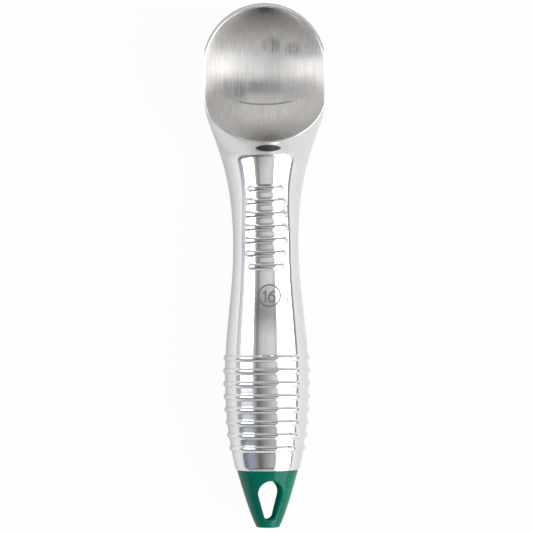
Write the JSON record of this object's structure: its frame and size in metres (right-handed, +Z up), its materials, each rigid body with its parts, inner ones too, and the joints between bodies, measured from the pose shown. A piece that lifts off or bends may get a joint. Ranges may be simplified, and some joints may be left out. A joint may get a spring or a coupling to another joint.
{
  "type": "ice cream dipper",
  "caption": "One-piece cast ice cream dipper with a deep bowl, ringed round handle, thumb ribs and a tapered hanging cap pressed into its end.",
  "frame": {"origin": "on the surface the dipper lies on, under the middle of its length, on the handle's centre line", "axes": "+Y along the handle from the cap to the lip of the bowl, +Z up out of the bowl's mouth, +X to the right with the bowl at the top"},
  "size_m": [0.047, 0.202, 0.0339],
  "materials": {
    "cast_aluminium": "bright polished outside, fine lengthwise brushing in the bowl",
    "charge_fluid": "clear pale liquid",
    "plug_aluminium": "turned",
    "seal_rubber": "matt",
    "cap_plastic": "glossy moulded plastic"
  },
  "bodies": {
    "root": {"dipper_casting": "cast_aluminium", "heat_charge": "charge_fluid", "seal_plug": "plug_aluminium", "plug_seal_ring": "seal_rubber", "hanging_cap": "cap_plastic"}
  },
  "joints": []
}
